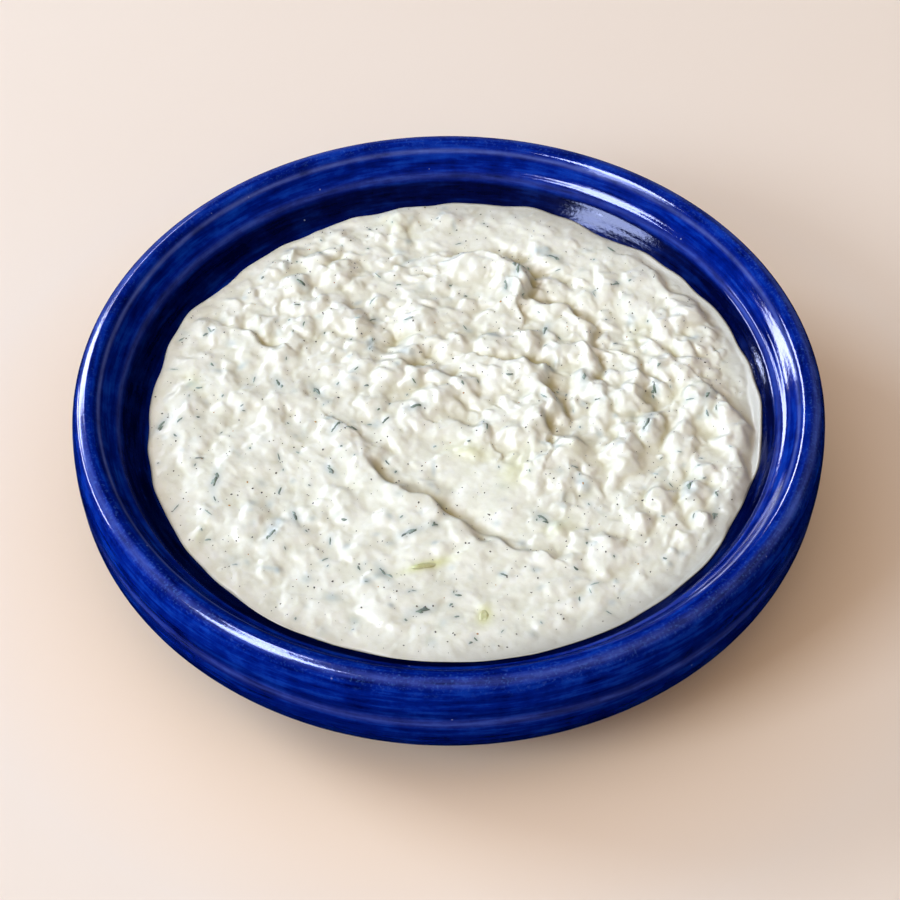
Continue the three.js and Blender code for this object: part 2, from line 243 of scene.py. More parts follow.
# A sliver is a swept leaf: growth and sideways step of each length, then one long piece on the
# dip with shards torn off it. Lengths, widths and places of shards are shares of the sliver's.
SLIVER_SEEDS = (2, 5, 9, 14)
SLIVER_STEPS = ((2, 0.1), (1.35, 0.05), (0.95, 0), (0.78, -0.05), (0.35, -0.1))
SLIVER_STEP = 0.2
SLIVER_LENGTH = 0.75
SLIVER_THICK = 0.35
SLIVER_LIFT = -0.1
SLIVER_FILM = (0.1, 0.7)
SHARD_COUNT = 2
SHARD_ASIDE = 35
SHARD_AWAY = 0.45
SHARD_TURN = 30
SHARD_LENGTH = (0.25, 0.5)
SHARD_WIDTH = (0.8, 1.4)
SHARD_THICK = 0.3
SHARD_LIFT = -0.15
SHARD_FILM = (0.2, 0.9)
DILL_MOTTLE = 1.4
# Small and sunken dill: seed, reach, length, width, then film over it or strength of its stain.
SMALL_DILL = (911, 71, (0.7, 2.6), (0.25, 0.75), (0.1, 0.9))
SUNKEN_DILL = (3207, 72, (0.7, 2.4), (0.5, 1.3), (0.12, 0.62))
# Herb stain round large and small dill: share of the length, length added, share of the width,
# width added, strength.
LARGE_HALO = (0.9, 0, 0.9, 0.5, 0.6)
SMALL_HALO = (0.7, 0.3, 1, 0.3, 0.35)

# Ground pepper and spice: sizes, width and thickness as shares of the size, and how high they lie.
PEPPER_SEED = 4177
PEPPER_REACH = 72
PEPPER_SIZE = (0.2, 0.58)
SPICE_SIZE = (0.3, 0.65)
GRAIN_SEEDS = (3, 8, 21)
GRAIN_WIDTH = 0.9
GRAIN_THICK = 0.8
GRAIN_LIFT = (-0.15, 0.05)
HUSK_FACE = 1.1
# Keeps a pick just below the number of choices.
PICK_GAP = 0.001

# The stage, in metres. The way of a light is its azimuth and elevation, its size width and height.
FLOOR_SIZE = 6
# Tones of the board and the fade of the painted warm shade round the bowl, in millimetres.
BOARD_TONE = 90
WARM_SHADE_FLOOR = (85, 130)
LIGHT_DISTANCE = 2.4
LIGHT_AIM = Vector((0, 0, 0.03))
KEY_WAY = (157, 29)
WINDOW_WAY = (213, 33)
WINDOW_SIZE = (0.9, 0.7)
# Bright panes that only the gloss mirrors: name, share of the glint power, way, size.
PANES = (
    ("side_pane", 0.48, (156, 5), (1.38, 0.3)), ("sky_pane", 0.2, (207, 46), (0.84, 0.34)),
    ("high_pane", 1.1, (198, 61), (0.8, 0.85)), ("far_pane", 0.75, (128, 25), (1.6, 0.4)),
)
# The light from overhead: its middle, where it starts and is full, and its share in the gloss.
SKY_WAY = (-0.15, -0.3, 0.94)
SKY_FADE = (0.4, 0.95)
SKY_GLOSS = 0.025
# The camera looks this far below the middle of the rim, and aside of it. Its sensor is in millimetres.
LOOK_DOWN = 1.379
LOOK_ASIDE = -0.04
SENSOR_WIDTH = 36
CLIP_START = 0.01


def linear(hex_colour):
    """An sRGB hex colour as linear red, green, blue and alpha."""
    channels = [int(hex_colour[i:i + 2], 16) / 255 for i in (1, 3, 5)]
    return tuple(c / 12.92 if c <= 0.04045 else ((c + 0.055) / 1.055) ** 2.4 for c in channels) + (1.0,)


def colour_setting(name, hex_colour):
    """A colour that the panel shows."""
    return bpy.props.FloatVectorProperty(
        name=name, subtype="COLOR", size=4, min=0, max=1, default=linear(hex_colour))


def count_setting(name, default, least=0):
    """A number of things that the panel shows."""
    return bpy.props.IntProperty(name=name, default=default, min=least)


def size_setting(name, default, unit="LENGTH"):
    """A length, or another measure with a unit, that the panel shows."""
    return bpy.props.FloatProperty(name=name, default=default, min=0, unit=unit)


class BowlSettings(bpy.types.PropertyGroup):
    """Sizes and glaze of the bowl."""

    turns: count_setting("Faces round the bowl", 256, 32)
    ring_depth: size_setting("Depth of the rings left by the fingers", 0.035 * MM)
    glaze: colour_setting("Cobalt glaze at its usual thickness", "#001c84")
    glaze_deep: colour_setting("Glaze pooled in hollows", "#00084e")
    glaze_bright: colour_setting("Streaks where the glaze is lighter", "#0c3cb0")
    glaze_thin: colour_setting("Glaze run thin over ridges", "#6c7cc2")
    glaze_speck: colour_setting("Fine pale specks along the crest", "#4a74cc")
    # Thick pooled glaze, darkened further as painted shade on the seat inside the rim.
    glaze_pooled_and_shade: colour_setting("Thick glaze and painted shade on the seat inside the rim", "#00032a")
    pinhole: colour_setting("Pale rims of the pinholes", "#aab6da")
    gloss: colour_setting("Tint of the gloss", "#c4d2ff")
    clay: colour_setting("Unglazed clay under the foot", "#b98a63")
    clay_grit: colour_setting("Darker grit in the clay", "#8f6242")


class DipSettings(bpy.types.PropertyGroup):
    """Relief and colours of the dip."""

    curd_count: count_setting("Small lumps in the surface", 2200)
    grain_height: size_setting("Height of the finest unevenness", 0.09 * MM)
    cream: colour_setting("Strained yogurt", "#f3f2e9")
    whey: colour_setting("Thinner yogurt in clouds", "#e9e8dc")
    # Painted shade in the creases between the lumps, tinted like whey.
    hollow: colour_setting("Painted shade in the hollows between the lumps, tinted like whey", "#bdb58e")
    herb_stain: colour_setting("Yogurt over sunken dill", "#aebcc0")
    cucumber_stain: colour_setting("Yogurt over sunken cucumber", "#d9d9a2")
    # Painted shade on the thin right edge, greyed a little by the glaze below the film.
    shaded_thin_edge: colour_setting("Painted shade on the yogurt spread thin over the glaze at the right edge", "#b9b6ae")


class FleckSettings(bpy.types.PropertyGroup):
    """Numbers and colours of what is stirred into the dip."""

    dill_count: count_setting("Chopped dill besides the large slivers", 170)
    sunken_count: count_setting("Dill that only stains the surface", 230)
    pepper_count: count_setting("Grains of ground pepper", 1200)
    spice_count: count_setting("Orange-brown grains", 40)
    dill: colour_setting("Chopped dill", "#28392d")
    dill_pale: colour_setting("Cut ends of the dill", "#5d7757")
    dill_film: colour_setting("Dill seen through a film of yogurt", "#a3b3ad")
    pepper: colour_setting("Ground black pepper", "#2b2622")
    pepper_pale: colour_setting("Broken faces of the pepper", "#5a4f45")
    spice: colour_setting("Husk and spice", "#a5642c")
    spice_pale: colour_setting("Broken faces of the spice", "#c9a15e")
    cucumber: colour_setting("Cucumber flesh", "#d9dcae")
    cucumber_edge: colour_setting("Cucumber near its peel", "#b5ad62")
    cucumber_film: colour_setting("Cucumber seen through a film of yogurt", "#f0eee2")


class StageSettings(bpy.types.PropertyGroup):
    """Floor, light and camera."""

    floor: colour_setting("Plain pale floor", "#f0dfd3")
    floor_light: colour_setting("Lighter tone of the floor", "#f2e3d8")
    # Painted warm shade on the floor round the bowl.
    floor_warm_shade: colour_setting("Painted warm shade on the floor close to the bowl", "#fadcc0")
    key_power: size_setting("Soft light from the left", 30, "POWER")
    window_power: size_setting("Window at the front left", 30, "POWER")
    glint_power: size_setting("Bright panes that show only as highlights in the glaze", 70, "POWER")
    fill: size_setting("Strength of the light from overhead", 1.28, "NONE")
    daylight: colour_setting("Colour of the two windows", "#d2eaff")
    glint_colour: colour_setting("Colour of the bright panes", "#f2f4ff")
    fill_colour: colour_setting("Colour of the light from overhead", "#ffefdd")
    elevation: size_setting("Camera elevation", math.radians(47.5), "ROTATION")
    distance: size_setting("Camera distance from the middle of the rim", 650 * MM)
    lens: size_setting("Focal length in millimetres", 109.2, "CAMERA")


class DipBowlSettings(bpy.types.PropertyGroup):
    """All settings of the bowl of dip."""

    bowl: bpy.props.PointerProperty(type=BowlSettings)
    dip: bpy.props.PointerProperty(type=DipSettings)
    flecks: bpy.props.PointerProperty(type=FleckSettings)
    stage: bpy.props.PointerProperty(type=StageSettings)


class Draws:
    """Repeatable random draws."""

    FACTOR = 1664525
    STEP = 1013904223
    RANGE = 2 ** 32

    def __init__(self, seed):
        self.state = seed

    def share(self):
        """The next number from 0 to 1."""
        self.state = (self.state * self.FACTOR + self.STEP) % self.RANGE
        return self.state / self.RANGE

    def between(self, low, high):
        """The next number from low to high."""
        return low + (high - low) * self.share()


def span(limits, share):
    """The value at a share of the way between two limits."""
    return limits[0] + (limits[1] - limits[0]) * share


def pick(share, choices):
    """Index of the choice that a share from 0 to 1 falls on."""
    return int(share * (len(choices) - PICK_GAP))


def fade(value, low, high):
    """Share that goes from 0 at low to 1 at high."""
    return np.clip((value - low) / (high - low), 0, 1)


def logistic(value):
    """Soft step from 0 to 1."""
    return 1 / (1 + np.exp(-value))


def smooth_curve(points, steps):
    """Points along a centripetal curve through the given ones."""
    knots = np.array(points, float)
    first = 2 * knots[0] - knots[1]
    last = 2 * knots[-1] - knots[-2]
    knots = np.vstack((first, knots, last))
    made = [knots[1]]
    for i in range(1, len(knots) - 2):
        p0, p1, p2, p3 = knots[i - 1:i + 3]
        d0, d1, d2 = (math.sqrt(np.linalg.norm(b - a)) for a, b in ((p0, p1), (p1, p2), (p2, p3)))
        t1 = ((p1 - p0) / d0 - (p2 - p0) / (d0 + d1) + (p2 - p1) / d1) * d1
        t2 = ((p2 - p1) / d1 - (p3 - p1) / (d1 + d2) + (p3 - p2) / d2) * d1
        for step in range(1, steps + 1):
            t = step / steps
            made.append(
                p1 + t1 * t + (3 * (p2 - p1) - 2 * t1 - t2) * t * t + (2 * (p1 - p2) + t1 + t2) * t ** 3)
    return np.array(made)


def thrown_section(ring_depth):
    """Fine section from the middle of the foot to the middle of the inside, with throwing rings."""
    foot = np.array([(r, 0) for r in FOOT_RADII], float)
    outer = smooth_curve(OUTER_POINTS, OUTER_STEPS)
    lip = smooth_curve(LIP_POINTS, LIP_STEPS)[1:]
    wall = smooth_curve(WALL_POINTS, WALL_STEPS)[1:]
    section = np.vstack((foot, outer, lip, wall))
    section[:, 0] = np.maximum(section[:, 0], 0)
    steps = np.gradient(section, axis=0)
    normals = np.stack((steps[:, 1], -steps[:, 0]), 1)
    normals /= np.maximum(np.linalg.norm(normals, axis=1), TINY)[:, None]
    run = np.concatenate(([0], np.cumsum(np.linalg.norm(np.diff(section, axis=0), axis=1))))
    ripple = np.array([
        sum(depth * noise.noise((s / spacing, a, b)) for spacing, depth, a, b in RINGS) for s in run])
    upper = fade(section[:, 1], *RING_HEIGHTS) * fade(section[:, 0], *RING_RADII)
    return section + normals * (ripple * upper * ring_depth / MM)[:, None]


def inside_height(radius):
    """Height of the bowl's inside at a radius."""
    lip = smooth_curve(LIP_POINTS, LIP_STEPS)
    wall = smooth_curve(WALL_POINTS, WALL_STEPS)[1:]
    section = np.vstack((lip, wall))[::-1]
    seat = section[:np.argmax(section[:, 0]) + 1]
    return np.interp(radius, seat[:, 0], seat[:, 1])


def fold_height(path, sizes, x, y):
    """Height of one fold: raised on the right side of its path and hollow on its left."""
    rise, rise_reach, fall, fall_reach = sizes
    curve = smooth_curve(path, FOLD_STEPS)
    best = np.full(x.shape, np.inf)
    side = np.ones(x.shape)
    along = np.zeros(x.shape)
    for i in range(1, len(curve)):
        ax, ay = curve[i - 1]
        dx, dy = curve[i] - curve[i - 1]
        share = np.clip(((x - ax) * dx + (y - ay) * dy) / (dx * dx + dy * dy), 0, 1)
        px = x - ax - dx * share
        py = y - ay - dy * share
        distance = np.hypot(px, py)
        nearer = distance < best
        best = np.where(nearer, distance, best)
        side = np.where(nearer, np.where(dx * py - dy * px < 0, 1, -1), side)
        along = np.where(nearer, (i - 1 + share) / (len(curve) - 1), along)
    signed = best * side
    taper = np.sqrt(np.sin(math.pi * (FOLD_END + (1 - 2 * FOLD_END) * along)))
    up = rise * np.exp(-((best / rise_reach) ** 2)) * logistic(signed * FOLD_SHARPNESS)
    down = fall * np.exp(-((best / fall_reach) ** 2)) * logistic(-signed * FOLD_SHARPNESS)
    return taper * (up - down)


def near_oval(x, y, oval, reach):
    """Indices of the points near an oval, and the square of how many radii out they lie."""
    cx, cy, long, short, turn = oval
    near = np.flatnonzero((np.abs(x - cx) < reach * long) & (np.abs(y - cy) < reach * long))
    angle = math.radians(turn)
    u = (x[near] - cx) * math.cos(angle) + (y[near] - cy) * math.sin(angle)
    v = (y[near] - cy) * math.cos(angle) - (x[near] - cx) * math.sin(angle)
    return near, (u / long) ** 2 + (v / short) ** 2


def add_mound(heights, x, y, mound):
    """Adds one rounded mound or hollow to the heights."""
    *oval, height = mound
    near, out = near_oval(x, y, oval, MOUND_REACH)
    heights[near] += height * np.exp(-out)


def crowd_height(x, y, lumps, softness):
    """Height of a crowd of domed lumps that run softly together where they meet."""
    crowd = np.ones(x.shape)
    for *oval, height in lumps:
        near, out = near_oval(x, y, oval, DOME_REACH)
        crowd[near] += np.exp(height * (1 - out) / softness)
    return softness * np.log(crowd)


def busyness(x, y):
    """How lumpy the dip is: calm at the front left, busy at the back right."""
    return CALM_SHARE + (1 - CALM_SHARE) * logistic((x + BUSY_TILT * y + BUSY_SHIFT) / BUSY_FADE)


def scatter_lumps(count, seed, reach, width, stretch, rise):
    """Seeded lumps that lie along the stirring direction, most of them small."""
    draws = Draws(seed)
    lumps = []
    for _ in range(count):
        angle = draws.between(0, FULL_TURN)
        radius = reach * math.sqrt(draws.share())
        x = radius * math.cos(angle)
        y = radius * math.sin(angle)
        short = span(width, draws.share() ** 2)
        long = short * draws.between(*stretch)
        turn = math.degrees(angle) + 90 + draws.between(-LUMP_TURN, LUMP_TURN)
        lumps.append((x, y, long, short, turn, short * draws.between(*rise) * busyness(x, y)))
    return lumps


def swell(x, y, size):
    """Soft swells of about the given size."""
    ahead, aside = SWELL_WAY
    along = (ahead * x + aside * y) / size
    across = (ahead * y - aside * x) / size
    return np.array([noise.noise((a, b, size)) for a, b in zip(along, across)])


def relief_height(x, y, curd_count, grain_height):
    """Height of the stirred surface over its plain crown."""
    heights = np.zeros(x.shape)
    torn_x = x + FOLD_PULL * swell(x, y, FOLD_PULL_SIZE)
    torn_y = y + FOLD_PULL * swell(y, x, FOLD_PULL_SIZE)
    for path, sizes in FOLDS:
        heights += fold_height(path, sizes, torn_x, torn_y)
    for mound in MOUNDS:
        add_mound(heights, x, y, mound)
    for cx, cy, turn, length, width, film in CUCUMBER:
        bump = (cx, cy, BUMP_LENGTH * length, BUMP_WIDTH * width, turn, BUMP_RISE * width * film)
        add_mound(heights, x, y, bump)
    lumps = scatter_lumps(LUMP_COUNT, *LUMPS)
    curds = scatter_lumps(curd_count, *CURDS)
    pulled_x = x + PULL * swell(x, y, PULL_SIZE)
    pulled_y = y + PULL * swell(y, x, PULL_SIZE)
    rough = crowd_height(pulled_x, pulled_y, lumps, LUMP_SOFTNESS)
    rough += crowd_height(pulled_x, pulled_y, curds, CURD_SOFTNESS)
    rough += SWELL_HEIGHT * swell(x, y, SWELL_SIZE) * busyness(x, y)
    calm = np.ones(x.shape)
    for pool in POOLS:
        add_mound(calm, x, y, pool)
    grain = np.array([
        sum(share * noise.noise((a / size, b / size, c)) for size, share, c in FINE_GRAIN)
        for a, b in zip(x, y)])
    return heights + rough * calm + grain * grain_height / MM


def dip_place(share, angle):
    """Place on the dip at a share of the way to its edge, which wanders a little."""
    edge = DIP_RADIUS + sum(depth * np.sin(count * angle + phase) for count, phase, depth in EDGE_WAVES)
    radius = edge * share
    return DIP_CENTRE_X + radius * np.cos(angle), radius * np.sin(angle)


def dip_top(share, angle, settings):
    """Height of the dip's top, never below a film on the wall."""
    x, y = dip_place(share, angle)
    contact = inside_height(np.hypot(*dip_place(1, angle))) + WALL_GAP
    crown = BOWL_HEIGHT - CROWN_DROP - (SHOULDER_DROP - CROWN_DROP) * share * share
    inward = fade(1 - share, 0, EDGE_SHARE)
    rounding = (1 - (1 - inward) ** EDGE_ROUND) ** (1 / EDGE_ROUND)
    relief = relief_height(x, y, settings.curd_count, settings.grain_height)
    wall = inside_height(np.hypot(x, y)) + WALL_GAP
    return np.maximum(contact + (crown + relief - contact) * rounding, wall + EDGE_FILM * rounding)


def add_node(tree, kind, inputs=(), stops=(), **settings):
    """Adds a node with its settings and the stops of a ramp, and gives its outputs.

    Inputs are values, or the sockets that feed them, in order or by key.
    """
    node = tree.nodes.new("ShaderNode" + kind)
    for name, value in settings.items():
        setattr(node, name, value)
    for key, value in inputs.items() if isinstance(inputs, dict) else enumerate(inputs):
        if isinstance(value, bpy.types.NodeSocket):
            tree.links.new(value, node.inputs[key])
        else:
            node.inputs[key].default_value = value
    while stops and len(node.color_ramp.elements) < len(stops):
        node.color_ramp.elements.new(0.5)
    for element, (position, colour) in zip(node.color_ramp.elements if stops else (), stops):
        element.position = position
        element.color = colour
    return node.outputs


def start_material(name):
    """An empty material, the function that adds nodes to it, and the place on the piece."""
    material = bpy.data.materials.new(name)
    material.use_nodes = True
    material.node_tree.nodes.clear()
    add = partial(add_node, material.node_tree)
    return material, add, add("TexCoord")["Object"]


def finish_material(material, add, inputs):
    """The material with its shader, whose sockets get these values and links."""
    shader = add("BsdfPrincipled", inputs)
    add("OutputMaterial", {"Surface": shader["BSDF"]})
    return material


def thrown_cobalt_glaze(settings):
    """Glossy cobalt glaze on thrown earthenware.

    The glaze breaks into fine concentric streaks over the throwing rings, pools darker in
    hollows, where painted shade darkens it further on the seat inside the rim, runs thin and
    pale on ridges and holds a few pinholes.
    """
    material, add, place = start_material("cobalt_glaze_over_thrown_earthenware")
    axes = add("SeparateXYZ", (place,))
    flat = add("CombineXYZ", {"X": axes["X"], "Y": axes["Y"]})[0]
    radius = add("VectorMath", (flat,), operation="LENGTH")["Value"]
    section = add("CombineXYZ", {"X": radius, "Y": axes["Z"]})[0]
    streak = add("Mapping", {"Vector": section, "Scale": (1 / (STREAK_WIDTH * MM),) * 3})[0]
    around = add("VectorMath", (flat,), operation="NORMALIZE")[0]
    turn = add("SeparateXYZ", (around,))
    ahead = add("Math", (turn["X"], STREAK_RADIUS / STREAK_RUN), operation="MULTIPLY")[0]
    aside = add("Math", (turn["Y"], STREAK_RADIUS / STREAK_RUN), operation="MULTIPLY")[0]
    lift = add("CombineXYZ", {"Z": ahead})[0]
    spun = add("VectorMath", (streak, lift), operation="ADD")[0]
    rings = add("TexNoise", {
        "Vector": spun, "W": aside, "Scale": 1, "Detail": 4, "Roughness": 0.62}, noise_dimensions="4D")["Fac"]
    cloud = add("TexNoise", {
        "Vector": place, "Scale": 1 / (GLAZE_CLOUD * MM), "Detail": 6, "Roughness": 0.68})["Fac"]
    fine = add("TexNoise", {
        "Vector": place, "Scale": 1 / (GLAZE_SPECK * MM), "Detail": 2, "Roughness": 0.6})["Fac"]
    grit = add("TexNoise", {"Vector": place, "Scale": 1 / (CLAY_GRIT * MM), "Detail": 3})["Fac"]
    both = add("Mix", {0: 0.42, 2: rings, 3: cloud})[0]
    colour = add("ValToRGB", (both,), stops=(
        (0.36, settings.glaze_deep), (0.5, settings.glaze), (0.64, settings.glaze_bright)))[0]
    # Streaks and specks break up each zone.
    drawn = add("MapRange", (both, 0.4, 0.6, 1, 0.8))[0]
    broken = add("MapRange", (both, 0.36, 0.62, 0.25, 1))[0]
    speck = add("MapRange", (fine, 0.54, 0.7, 0, 0.4))[0]
    # The pooled zone is thick glaze, darkened further as painted shade.
    for zone, share, over in (
        ("pooled_glaze_and_shade", drawn, settings.glaze_pooled_and_shade), ("thin_glaze", broken, settings.glaze_thin),
        ("speckled_glaze", speck, settings.glaze_speck),
    ):
        strength = add("Attribute", attribute_name=zone)["Fac"]
        laid = add("Math", (strength, share), operation="MULTIPLY")[0]
        colour = add("Mix", {0: laid, 6: colour, 7: over}, data_type="RGBA")[2]
    holes = add("TexVoronoi", {"Vector": place, "Scale": 1 / (PINHOLE_SPACING * MM)})["Distance"]
    pin = add("MapRange", (holes, 0.02, 0.04, 0.4, 0))[0]
    # The foot is bare where it is both low and narrow.
    low = add("MapRange", (axes["Z"], BARE_HEIGHT[0] * MM, BARE_HEIGHT[1] * MM, 1, 0))[0]
    narrow = add("MapRange", (radius, BARE_RADIUS[0] * MM, BARE_RADIUS[1] * MM, 1, 0))[0]
    bare = add("Math", (low, narrow), operation="MULTIPLY")[0]
    clay = add("Mix", {0: grit, 6: settings.clay, 7: settings.clay_grit}, data_type="RGBA")[2]
    for share, over in ((pin, settings.pinhole), (bare, clay)):
        colour = add("Mix", {0: share, 6: colour, 7: over}, data_type="RGBA")[2]
    gloss = add("MapRange", (both, 0.3, 0.7, 0.05, 0.13))[0]
    matt = add("Mix", {0: bare, 2: gloss, 3: 0.85})[0]
    uneven = add("Mix", {0: 0.5, 2: rings, 3: grit})[0]
    bump = add("Bump", {"Strength": 0.35, "Distance": GLAZE_BUMP * MM, "Height": uneven})[0]
    return finish_material(material, add, {
        "Base Color": colour, "Roughness": matt, "Normal": bump, "IOR": 1.5, "Specular Tint": settings.gloss})


def strained_yogurt(settings):
    """Thick strained yogurt, stirred.

    Soft and milky with a moist gloss. Painted shade, tinted like whey, darkens the hollows, and
    painted grey shade lies on the thin edge at the right; sunken herbs and cucumber stain it
    grey-blue and pale green.
    """
    material, add, place = start_material("strained_yogurt_stirred")
    cloud = add("TexNoise", {"Vector": place, "Scale": 1 / (CREAM_CLOUD * MM), "Detail": 4})["Fac"]
    fine = add("TexNoise", {"Vector": place, "Scale": 1 / (CREAM_GRAIN * MM), "Detail": 3})["Fac"]
    colour = add("ValToRGB", (cloud,), stops=((0.38, settings.whey), (0.6, settings.cream)))[0]
    # Of these zones the hollows and the thin edge are painted shade; the two stains are real.
    for zone in ("hollow", "herb_stain", "cucumber_stain", "shaded_thin_edge"):
        share = add("Attribute", attribute_name=zone)["Fac"]
        colour = add("Mix", {0: share, 6: colour, 7: getattr(settings, zone)}, data_type="RGBA")[2]
    moist = add("MapRange", (fine, 0.3, 0.7, 0.26, 0.46))[0]
    bump = add("Bump", {"Strength": 0.3, "Distance": CREAM_BUMP * MM, "Height": fine})[0]
    return finish_material(material, add, {
        "Base Color": colour, "Roughness": moist, "Normal": bump, "IOR": 1.38, "Subsurface Weight": 0.5,
        "Subsurface Radius": (0.9, 0.9, 0.75), "Subsurface Scale": CREAM_GLOW * MM})


def filmed_material(name, mottle_size, stops, film_colour, inputs):
    """A mottled material that pales where a film of yogurt lies over it."""
    material, add, place = start_material(name)
    mottle = add("TexNoise", {"Vector": place, "Scale": 1 / (mottle_size * MM), "Detail": 3})["Fac"]
    bare = add("ValToRGB", (mottle,), stops)[0]
    film = add("Attribute", attribute_name="film")["Fac"]
    colour = add("Mix", {0: film, 6: bare, 7: film_colour}, data_type="RGBA")[2]
    return finish_material(material, add, {"Base Color": colour, **inputs})


def chopped_dill(settings):
    """Chopped dill leaf: dark green with paler cut ends, greyed where yogurt films it, wet."""
    stops = ((0.35, settings.dill), (0.68, settings.dill_pale))
    return filmed_material("dill_leaf_chopped", DILL_MOTTLE, stops, settings.dill_film, {"Roughness": 0.42})


def ground_pepper(name, dark, pale):
    """Ground pepper or spice: dark husk with paler broken faces."""
    material, add, place = start_material(name)
    broken = add("TexVoronoi", {"Vector": place, "Scale": 1 / (HUSK_FACE * MM)})["Color"]
    husk = add("Mix", {0: broken, 6: dark, 7: pale}, data_type="RGBA")[2]
    return finish_material(material, add, {"Base Color": husk, "Roughness": 0.6})


def grated_cucumber(settings):
    """Grated cucumber: wet translucent flesh, greener towards the peel."""
    stops = ((0.4, settings.cucumber), (0.72, settings.cucumber_edge))
    return filmed_material("grated_cucumber_wet", FLESH_CELL, stops, settings.cucumber_film, {
        "Roughness": 0.4, "Subsurface Weight": 0.5, "Subsurface Radius": (0.8, 1, 0.5),
        "Subsurface Scale": FLESH_GLOW * MM})


def painted_board(settings):
    """Matt painted board, pale and even, with painted warm shade close to the bowl."""
    material, add, place = start_material("matt_painted_board")
    soft = add("TexNoise", {"Vector": place, "Scale": 1 / (BOARD_TONE * MM), "Detail": 2})["Fac"]
    tone = add("Mix", {0: soft, 6: settings.floor, 7: settings.floor_light}, data_type="RGBA")[2]
    # Painted warm shade, full near the bowl and gone further out.
    away = add("VectorMath", (place,), operation="LENGTH")["Value"]
    near = add("MapRange", (away, WARM_SHADE_FLOOR[0] * MM, WARM_SHADE_FLOOR[1] * MM, 1, 0))[0]
    colour = add("Mix", {0: near, 6: tone, 7: settings.floor_warm_shade}, data_type="RGBA")[2]
    return finish_material(material, add, {"Base Color": colour, "Roughness": 0.7})


def set_places(mesh, places):
    """Puts the vertices at places in millimetres."""
    mesh.vertices.foreach_set("co", (np.asarray(places, np.float64) * MM).ravel())
    mesh.update()


def get_places(mesh):
    """Places of the vertices in millimetres."""
    places = np.zeros(len(mesh.vertices) * 3)
    mesh.vertices.foreach_get("co", places)
    return places.reshape(-1, 3) / MM


def paint(mesh, name, shares):
    """Stores a share from 0 to 1 at each vertex, which the materials read by its name."""
    mesh.attributes.new(name, "FLOAT", "POINT").data.foreach_set("value", shares)


def start_piece(name):
    """Names the primitive just added and opens it for modelling."""
    piece = bpy.context.active_object
    piece.name = name
    piece.data.name = name
    bpy.ops.object.mode_set(mode="EDIT")
    bpy.ops.mesh.select_all(action="SELECT")
    return piece


def extrude(x, y, z):
    """Draws the chosen part out by a step in metres."""
    bpy.ops.mesh.extrude_region_move(TRANSFORM_OT_translate={"value": (x, y, z)})


def close_piece():
    """Turns all faces outwards and ends the modelling."""
    bpy.ops.mesh.select_all(action="SELECT")
    bpy.ops.mesh.normals_make_consistent(inside=False)
    bpy.ops.object.mode_set(mode="OBJECT")


def carry(piece, material, slot, node=None):
    """Finishes a piece: smooth, painted and riding on the frame."""
    bpy.ops.object.select_all(action="DESELECT")
    piece.select_set(True)
    bpy.context.view_layer.objects.active = piece
    bpy.ops.object.shade_smooth()
    piece.data.materials.clear()
    piece.data.materials.append(material)
    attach(piece, "root")
    if node:
        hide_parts(node)
    # The glaze of the inner wall stays dark: it does not mirror the dip.
    piece.visible_glossy = slot != "dip"
    piece.select_set(False)


class DIPBOWL_OT_bowl(bpy.types.Operator):
    """Throw the bowl as one spun section and glaze it"""

    bl_idname = "dip_bowl.bowl"
    bl_label = "Bowl"

    def execute(self, context):
        settings = context.scene.dip_bowl.bowl
        section = thrown_section(settings.ring_depth)
        bpy.ops.mesh.primitive_plane_add(size=MM)
        piece = start_piece("thrown_bowl")
        bpy.ops.mesh.merge(type="CENTER")
        for before, after in zip(section[:-1], section[1:]):
            step = (after - before) * MM
            extrude(step[0], 0, step[1])
        bpy.ops.mesh.select_all(action="SELECT")
        bpy.ops.mesh.spin(steps=settings.turns, angle=FULL_TURN, center=(0, 0, 0), axis=(0, 0, 1))
        bpy.ops.mesh.select_all(action="SELECT")
        bpy.ops.mesh.remove_doubles(threshold=MERGE_GAP * MM)
        close_piece()
        places = get_places(piece.data)
        radius = np.hypot(places[:, 0], places[:, 1])
        for name, zones in GLAZE_ZONES.items():
            shares = np.zeros(len(places))
            for ridge, height, reach, strength in zones:
                away = (radius - ridge) ** 2 + (places[:, 2] - height) ** 2
                shares += strength * np.exp(-away / reach ** 2)
            paint(piece.data, name, np.clip(shares, 0, 1))
        carry(piece, thrown_cobalt_glaze(settings), "bowl", "bowl")
        return {"FINISHED"}


def sprinkle(seed, count, reach):
    """Seeded rows of x, y, turn and three draws from 0 to 1, spread evenly over the dip."""
    draws = Draws(seed)
    rows = []
    for _ in range(count):
        angle = draws.between(0, FULL_TURN)
        radius = reach * math.sqrt(draws.share())
        turn = draws.between(0, 180)
        rows.append((radius * math.cos(angle), radius * math.sin(angle), turn,
                     draws.share(), draws.share(), draws.share()))
    return rows


def fine_dill(count, sizes):
    """Rows of x, y, turn, length, width and film or stain for finely chopped dill, most of it short."""
    seed, reach, length, width, film = sizes
    return [(x, y, turn, span(length, a * a), span(width, b), span(film, c))
            for x, y, turn, a, b, c in sprinkle(seed, count, reach)]


def halo(sliver, sizes):
    """The stain round a sliver of dill."""
    x, y, turn, length, width = sliver
    long_share, long_added, wide_share, wide_added, strength = sizes
    return x, y, turn, long_share * length + long_added, wide_share * width + wide_added, strength


def stain(places, spots):
    """Strength from 0 to 1 of soft stains round spots given as x, y, turn, length, width, strength."""
    strength = np.zeros(len(places))
    for x, y, turn, length, width, share in spots:
        add_mound(strength, places[:, 0], places[:, 1], (x, y, length, width, turn, share))
    return np.clip(strength, 0, 1)


